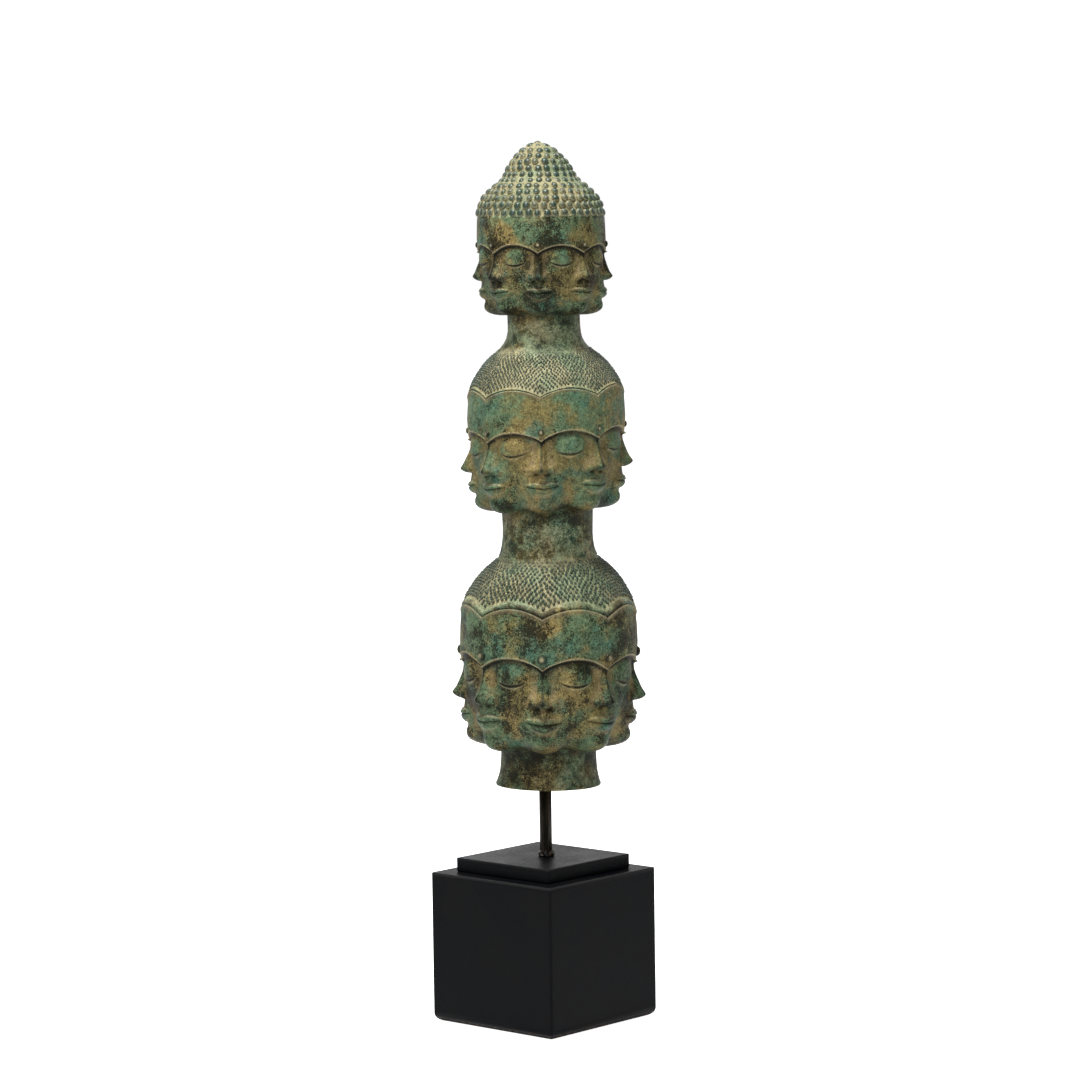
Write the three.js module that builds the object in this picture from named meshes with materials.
// Three tiers of eight-faced heads, cast in bronze as one piece and one above the other,
// carried by a thin steel rod on a black stepped block.
// Millimetres, +Z up. The block's sides run along X and Y, and the origin is under its middle.
import * as THREE from "three";
import { mergeVertices } from "three/addons/utils/BufferGeometryUtils.js";

// Overall height, and the stand
const TOTAL_HEIGHT = 508;
const BLOCK = { side: 92, height: 87.4, edge: 0.8, footRadius: 4.5 };
const PLATE = { inset: 10.4, height: 8.2, edge: 0.6 };
const ROD = { radius: 3.2, offset: 1.8, sides: 18 };
const WELD = { radius: 5, height: 3.4 };

// The casting: where its neck ends, and each head's hairline, chin and forehead radius
const NECK_FOOT = { z: 137.6, radius: 30.3 };
const HEADS = {
  lower: { hairline: 240, chin: 161, forehead: 50.5, neck: 27.6, tilt: -0.8 },
  middle: { hairline: 365, chin: 298, forehead: 44.8, neck: 26.2, tilt: 1.6 },
  upper: { hairline: 467, chin: 410, forehead: 36.5, neck: 21, tilt: -0.1 },
};
const FACES = 8;
const TURN = -7.2; // the first nose, in degrees from +X
const BOW = { foot: 3.8, rise: 0.0195, fall: 0.00006 }; // the casting's axis is slightly bowed
const BOW_TOWARDS = 42; // the side that the bow leans to, in degrees from +X

// Face proportions, in thirds of the height from hairline to chin, counted from the brow.
// Widths are shares of the half sector between the middle of a nose and the middle of an eye.
const EYE = { halfWidth: 0.5, edge: -0.5, corner: 0.085, lower: 0.07 };
const NOSE = { root: -0.2, tip: -0.87, base: -1.01, height: 0.26, bridge: 0.17, wing: 0.34 };
const WING = { at: 0.31, halfWidth: 0.16, z: -0.9, halfHeight: 0.12, depth: 0.125 };
const MOUTH = { halfWidth: 0.6, line: -1.345, smile: 0.05, upper: 0.125, lower: 0.17, depth: 0.08 };
const CHIN = { z: -1.78, lift: 0.12, drop: 0.27 };
const BROW = { low: -0.16, rise: 0.26, step: 0.055 };
const HAIR_EDGE = { low: -0.1, rise: 0.22, band: 0.19, step: 0.02 };
const CURL_EDGE = 0.96; // where the upper head's face meets its curls, all the way round
const FOREHEAD_UNITS = 1.93; // forehead radius, in the same unit as the radii below

// Radius down the middle of a face and down the cheek between two faces: [height, radius]
const FACE_MIDLINE = [
  [1.35, 1.93], [1, 1.93], [0.5, 1.955], [0.05, 1.945], [-0.3, 1.865], [-0.75, 1.845],
  [-1.35, 1.835], [-1.6, 1.77], [-1.78, 1.74],
];
const CHEEK_LINE = [
  [1.35, 1.93], [1, 1.93], [0.5, 1.955], [0.05, 1.935], [-0.3, 1.865], [-0.75, 1.805],
  [-1.05, 1.75], [-1.35, 1.665], [-1.6, 1.54], [-1.78, 1.42],
];

// Two heads have a low dome of hair, [height, radius] in the face's units
const DOME_PROFILE = [
  [2.2, 1.05], [2.06, 1.165], [1.93, 1.35], [1.8, 1.495], [1.67, 1.61], [1.54, 1.7], [1.41, 1.78],
  [1.28, 1.85], [1.14, 1.895], [1, 1.92],
];
const DOME_ROWS = [2.12, 1.95, 1.75, 1.5]; // heights of its rings, down to the hair band
// The upper head has rows of curls that rise to a cone: [height, radius] of each, from the rim up
const CURL_ROWS = [
  [468.3, 36], [472.5, 35], [476.8, 32.7], [480.5, 29.8], [483.7, 26.6], [486.7, 23.4],
];
const CONE_ROWS = [[490.5, 19.6], [493.7, 17.8], [497.6, 15.2], [501.2, 12.3], [504.3, 8.2]];
const CURL_DEPTH = { out: 1.1, in: -0.8 };
const CROWN = { z: 507, radius: 3 };

const COLOURS = {
  bronze: { color: 0x4f5a3f, roughness: 0.55, metalness: 0.6 },
  steel: { color: 0x1c1916, roughness: 0.5, metalness: 0.7 },
  paint: { color: 0x1b1c1d, roughness: 0.6, metalness: 0 },
};

const radians = THREE.MathUtils.degToRad;
const mix = THREE.MathUtils.lerp;
const step = THREE.MathUtils.smoothstep;
const hill = (distance, width) => Math.exp(-((distance / width) ** 2));
const dome = (share) => Math.sqrt(Math.max(0, 1 - share));

// A smooth curve through points whose first numbers rise or fall steadily
function through(points, x) {
  const p = points[0][0] < points.at(-1)[0] ? points : [...points].reverse();
  if (x <= p[0][0]) return p[0][1];
  if (x >= p.at(-1)[0]) return p.at(-1)[1];
  const i = p.findIndex((point) => point[0] > x) - 1;
  const slope = (k) => {
    const a = p[Math.max(0, k - 1)];
    const b = p[Math.min(p.length - 1, k + 1)];
    return (b[1] - a[1]) / (b[0] - a[0]);
  };
  const span = p[i + 1][0] - p[i][0];
  const t = (x - p[i][0]) / span;
  return (
    p[i][1] * (1 + 2 * t) * (1 - t) ** 2 +
    p[i + 1][1] * t * t * (3 - 2 * t) +
    slope(i) * span * t * (1 - t) ** 2 -
    slope(i + 1) * span * t * t * (1 - t)
  );
}

// Lines across a face, as heights. u is 0 on the nose and 1 in the middle of an eye.
const lobe = (u) => Math.cos((Math.PI / 2) * u) ** 1.5;
const arch = (u) => Math.sin((Math.PI / 2) * u) ** 0.85;
const eyeShare = (u) => Math.min(1, (1 - u) / EYE.halfWidth);
const mouthShare = (u) => Math.min(1, u / MOUTH.halfWidth);
const lipTaper = (u) => (1 - mouthShare(u) ** 2) ** 0.6;
const hairline = (u) => 1 + HAIR_EDGE.low + HAIR_EDGE.rise * arch(u);
const bandTop = (u) => hairline(u) + HAIR_EDGE.band;
const browLine = (u) => BROW.low + BROW.rise * arch(u);
const lidEdge = (u) => EYE.edge + EYE.corner * eyeShare(u) ** 2;
const lowerLid = (u) => lidEdge(u) - 0.012 - EYE.lower * (1 - eyeShare(u) ** 2);
const noseTip = () => NOSE.tip;
const noseBase = () => NOSE.base;
const mouthLine = (u) => MOUTH.line + MOUTH.smile * mouthShare(u) ** 2;
const upperLip = (u) => mouthLine(u) + 0.012 + MOUTH.upper * lipTaper(u);
const lowerLip = (u) => mouthLine(u) - 0.012 - MOUTH.lower * lipTaper(u);
const chinLine = (u) => CHIN.z + CHIN.lift * (1 - lobe(u));

// How far the nose stands out, with a wing on each side
function noseRelief(u, v) {
  const down = (NOSE.root - v) / (NOSE.root - NOSE.tip);
  if (v < NOSE.base) return 0;
  const under = dome(Math.max(0, (NOSE.tip - v) / (NOSE.tip - NOSE.base)) ** 2);
  const height = 0.06 + (NOSE.height - 0.06) * Math.min(1, Math.max(0, down)) ** 1.15;
  const share = u / mix(NOSE.bridge, NOSE.wing, Math.min(1, Math.max(0, down)));
  const section = share < 1 ? 0.5 * (1 - share) + 0.5 * Math.cos((Math.PI / 2) * share) ** 2 : 0;
  const ridge = height * section * under * step(v, NOSE.base, NOSE.tip - 0.06);
  const wing = dome(((u - WING.at) / WING.halfWidth) ** 2 + ((v - WING.z) / WING.halfHeight) ** 2);
  return v > browLine(0) ? 0 : Math.max(ridge, WING.depth * wing);
}

// The closed, downcast eye, centred between two noses
function eyeRelief(u, v) {
  const share = (1 - u) / EYE.halfWidth;
  if (share > 1.1) return 0;
  const ball = 0.1 * dome((share / 1.1) ** 2 + ((v + 0.34) / 0.26) ** 2);
  const above = step(v, lidEdge(u) - 0.025, lidEdge(u));
  const rim = 0.022 * hill(v - lowerLid(u), 0.02) * (1 - Math.min(1, share) ** 2);
  return ball * above + rim;
}

function mouthRelief(u, v) {
  const muzzle = 0.05 * hill(u, 0.5) * hill(v - MOUTH.line, 0.24);
  const chin = 0.06 * hill(u, 0.42) * hill(v + 1.8, 0.17);
  const dip = 0.035 * hill(u, 0.35) * hill(v + 1.585, 0.06);
  const line = mouthLine(u);
  const up = (v - line) / (upperLip(u) - line);
  const down = (line - v) / (line - lowerLip(u));
  const lip = v > line ? dome(Math.min(1, up) ** 2) : dome(((down - 0.25) / 0.75) ** 2);
  const lips = MOUTH.depth * lip * Math.sqrt(1 - mouthShare(u) ** 2);
  const slit = 0.04 * hill(v - line, 0.02) * (1 - mouthShare(u) ** 4);
  return muzzle + chin - dip + lips - slit;
}

// Radius of a face in its own units
function faceRadius(u, v, banded) {
  const base = mix(through(CHEEK_LINE, v), through(FACE_MIDLINE, v), lobe(u));
  const below = browLine(u) - v;
  const orbit = BROW.step * step(below, 0, 0.05) * hill(Math.max(0, below - 0.05), 0.4);
  const browRim = 0.02 * hill(below, 0.035);
  const hairRise = banded ? HAIR_EDGE.step * step(v, hairline(u) - 0.02, hairline(u) + 0.02) : 0;
  return base - orbit + browRim + hairRise + noseRelief(u, v) + eyeRelief(u, v) + mouthRelief(u, v);
}

// Rows of the face between its lines: [upper line, lower line, places of the rows between them].
// The brow and all below it use every column, the forehead and hair band every other one.
const BAND_ROWS = [[bandTop, hairline, [0, 0.9]], [hairline, browLine, [0.05, 0.5]]];
const CURL_EDGE_ROWS = [[() => CURL_EDGE, browLine, [0, 0.5]]];
const FACE_ROWS = [
  [hairline, browLine, [0.96]],
  [browLine, lidEdge, [0.1, 0.45, 1]],
  [lidEdge, lowerLid, [1]],
  [lowerLid, noseTip, [0.5, 1]],
  [noseTip, noseBase, [0.7, 1.05]],
  [noseBase, upperLip, [1]],
  [upperLip, mouthLine, [0.45, 1]],
  [mouthLine, lowerLip, [0.4, 1]],
  [lowerLip, chinLine, [0.4, 1]],
];
const UNDER_CHIN = [45, 90]; // degrees round the jaw, down to the neck

// The casting's axis bows a little, and each head leans a little to one side
const TILTS = [
  [NECK_FOOT.z, HEADS.lower.tilt],
  [HEADS.lower.hairline, HEADS.lower.tilt],
  [HEADS.middle.chin, HEADS.middle.tilt],
  [HEADS.middle.hairline, HEADS.middle.tilt],
  [HEADS.upper.chin, HEADS.upper.tilt],
  [TOTAL_HEIGHT, HEADS.upper.tilt],
];

function place(angle, radius, z) {
  const rise = z - NECK_FOOT.z;
  const shift = BOW.foot + BOW.rise * rise - BOW.fall * rise ** 2;
  const side = radius * Math.cos(angle - radians(BOW_TOWARDS));
  return new THREE.Vector3(
    radius * Math.cos(angle) + shift * Math.cos(radians(BOW_TOWARDS)),
    radius * Math.sin(angle) + shift * Math.sin(radians(BOW_TOWARDS)),
    z + side * Math.tan(radians(through(TILTS, z))),
  );
}

// The columns of a ring, as shares of the half sector: all of them, or every other one
const FACE_COLUMNS = [0, 0.18, 0.38, 0.66, 1, 0.66, 0.38, 0.18];
const EVEN_COLUMNS = [0, 0.25, 0.5, 0.75, 1, 0.75, 0.5, 0.25];

function ring(at, { every = 1, columns = FACE_COLUMNS } = {}) {
  const halfSector = Math.PI / FACES;
  const points = [];
  for (let face = 0; face < FACES; face++) {
    for (let column = 0; column < columns.length; column += every) {
      const u = columns[column];
      const turn = column <= columns.length / 2 ? u * halfSector : (2 - u) * halfSector;
      const { r, z } = at(u, points.length);
      points.push(place(radians(TURN) + face * 2 * halfSector + turn, r, z));
    }
  }
  return points;
}

function faceRings(head, { banded }) {
  const third = (head.hairline - head.chin) / 3;
  const brow = head.hairline - third;
  const unit = head.forehead / FOREHEAD_UNITS;
  const atLine = (v, u) => ({ r: unit * faceRadius(u, v, banded), z: brow + third * v });
  const between = (lines, every) =>
    lines.flatMap(([upper, lower, places]) =>
      places.map((t) => ring((u) => atLine(mix(upper(u), lower(u), t), u), { every })),
    );
  const jaws = UNDER_CHIN.map((degrees) =>
    ring(
      (u) => {
        const edge = atLine(chinLine(u), u);
        const drop = third * CHIN.drop * Math.sin(radians(degrees));
        return { r: mix(head.neck, edge.r, Math.cos(radians(degrees)) ** 0.8), z: edge.z - drop };
      },
      { every: degrees < 90 ? 1 : 2 },
    ),
  );
  return [...between(banded ? BAND_ROWS : CURL_EDGE_ROWS, 2), ...between(FACE_ROWS, 1), ...jaws];
}

function domeRings(head) {
  const third = (head.hairline - head.chin) / 3;
  const unit = head.forehead / FOREHEAD_UNITS;
  const brow = head.hairline - third;
  const at = (v) => ({ r: unit * through(DOME_PROFILE, v), z: brow + third * v });
  const rows = DOME_ROWS.map((v) => ring(() => at(v), { every: 2 }));
  return [...rows, ring((u) => at(bandTop(u) + 0.06), { every: 2 })];
}

// The cone and cap of curls, from the crown down to the rim: every other point of a row stands
// out, and the next row's points stand out between them
function curlRings() {
  const rows = [
    ...CURL_ROWS.map((row, i) => ({ row, i, every: 1 })),
    ...CONE_ROWS.map((row, i) => ({ row, i, every: 2 })),
  ];
  const curls = rows.map(({ row: [z, radius], i, every }) =>
    ring(
      (u, point) => ({ r: radius + (point % 2 === i % 2 ? CURL_DEPTH.out : CURL_DEPTH.in), z }),
      { every, columns: EVEN_COLUMNS },
    ),
  );
  const crown = ring(() => ({ r: CROWN.radius, z: CROWN.z }), { every: 2, columns: EVEN_COLUMNS });
  return [crown, ...curls.reverse()];
}

function neckRings(levels) {
  return levels.map(([z, r]) => ring(() => ({ r, z }), { every: 2 }));
}

// Triangles between two rings, the second below the first, where one may have twice the columns
function stitch(triangles, a, b) {
  const count = Math.min(a.length, b.length);
  const [stepA, stepB] = [a.length / count, b.length / count];
  for (let i = 0; i < count; i++) {
    const j = (i + 1) % count;
    const left = { a: a[i * stepA], b: b[i * stepB] };
    const right = { a: a[j * stepA], b: b[j * stepB] };
    if (stepA === stepB) {
      triangles.push(left.a, left.b, right.b, left.a, right.b, right.a);
    } else if (stepA > stepB) {
      const middle = a[i * stepA + 1];
      triangles.push(left.a, left.b, middle, middle, left.b, right.b, middle, right.b, right.a);
    } else {
      const middle = b[i * stepB + 1];
      triangles.push(left.a, left.b, middle, left.a, middle, right.a, right.a, middle, right.b);
    }
  }
}

function cap(triangles, rim, centre, facingUp) {
  rim.forEach((point, i) => {
    const next = rim[(i + 1) % rim.length];
    triangles.push(centre, ...(facingUp ? [point, next] : [next, point]));
  });
}

function castingGeometry() {
  const { lower, middle, upper } = HEADS;
  const rings = [
    ...curlRings(),
    ...faceRings(upper, { banded: false }),
    ...neckRings([[402, upper.neck], [395, 22.1], [391.3, 24]]),
    ...domeRings(middle),
    ...faceRings(middle, { banded: true }),
    ...neckRings([[287, middle.neck], [274, 27]]),
    ...domeRings(lower),
    ...faceRings(lower, { banded: true }),
    ...neckRings([[150, 28.2], [NECK_FOOT.z + 1.5, NECK_FOOT.radius]]),
  ];
  const foot = rings.at(-1).map((p) => new THREE.Vector3(p.x, p.y, NECK_FOOT.z));
  rings.push(foot);
  const triangles = [];
  cap(triangles, rings[0], place(0, 0, TOTAL_HEIGHT), true);
  rings.slice(1).forEach((next, i) => stitch(triangles, rings[i], next));
  const centre = place(0, 0, NECK_FOOT.z);
  cap(triangles, foot, centre, false);
  return mergeVertices(new THREE.BufferGeometry().setFromPoints(triangles));
}

// A square block with bevelled edges, its foot rounded to a radius of its own
function blockGeometry(side, height, edge, footRadius, footTurns) {
  const level = (z, inset) => {
    const w = side / 2 - inset;
    const c = w - edge;
    const corners = [[w, -c], [w, c], [c, w], [-c, w], [-w, c], [-w, -c], [-c, -w], [c, -w]];
    return corners.map(([x, y]) => new THREE.Vector3(x, y, z));
  };
  const foot = footTurns.map((degrees) => {
    const turn = radians(degrees);
    return level(footRadius * (1 - Math.sin(turn)), footRadius * (1 - Math.cos(turn)));
  });
  const rings = [level(height, edge), level(height - edge, 0), ...foot];
  const triangles = [];
  cap(triangles, rings[0], new THREE.Vector3(0, 0, height), true);
  rings.slice(1).forEach((next, i) => stitch(triangles, rings[i], next));
  cap(triangles, rings.at(-1), new THREE.Vector3(0, 0, 0), false);
  return mergeVertices(new THREE.BufferGeometry().setFromPoints(triangles));
}

// The rod from the plate to the underside of the neck, with the weld bead round its foot
function rodGeometry(length) {
  const bead = [0, 30, 60, 90].map(
    (degrees) =>
      new THREE.Vector2(
        mix(ROD.radius, WELD.radius, Math.cos(radians(degrees))),
        WELD.height * Math.sin(radians(degrees)),
      ),
  );
  const profile = [
    new THREE.Vector2(0, 0), ...bead, new THREE.Vector2(ROD.radius, length),
    new THREE.Vector2(0, length),
  ];
  return new THREE.LatheGeometry(profile, ROD.sides).rotateX(Math.PI / 2);
}

function piece(name, geometry, finish, position) {
  const made = new THREE.Mesh(geometry, new THREE.MeshStandardMaterial(finish));
  made.name = name;
  made.position.set(...position);
  return made;
}

const plateTop = BLOCK.height + PLATE.height;
const rodX = ROD.offset * Math.cos(radians(BOW_TOWARDS));
const rodY = ROD.offset * Math.sin(radians(BOW_TOWARDS));
const group = new THREE.Group();
group.add(
  piece(
    "plinth_block",
    blockGeometry(BLOCK.side, BLOCK.height, BLOCK.edge, BLOCK.footRadius, [0, 45, 90]),
    COLOURS.paint,
    [0, 0, 0],
  ),
  piece(
    "plinth_plate",
    blockGeometry(BLOCK.side - 2 * PLATE.inset, PLATE.height, PLATE.edge, PLATE.edge, [0, 90]),
    COLOURS.paint,
    [0, 0, BLOCK.height],
  ),
  piece("rod", rodGeometry(NECK_FOOT.z - plateTop), COLOURS.steel, [rodX, rodY, plateTop]),
  piece("heads_casting", castingGeometry(), COLOURS.bronze, [0, 0, 0]),
);

export default group;
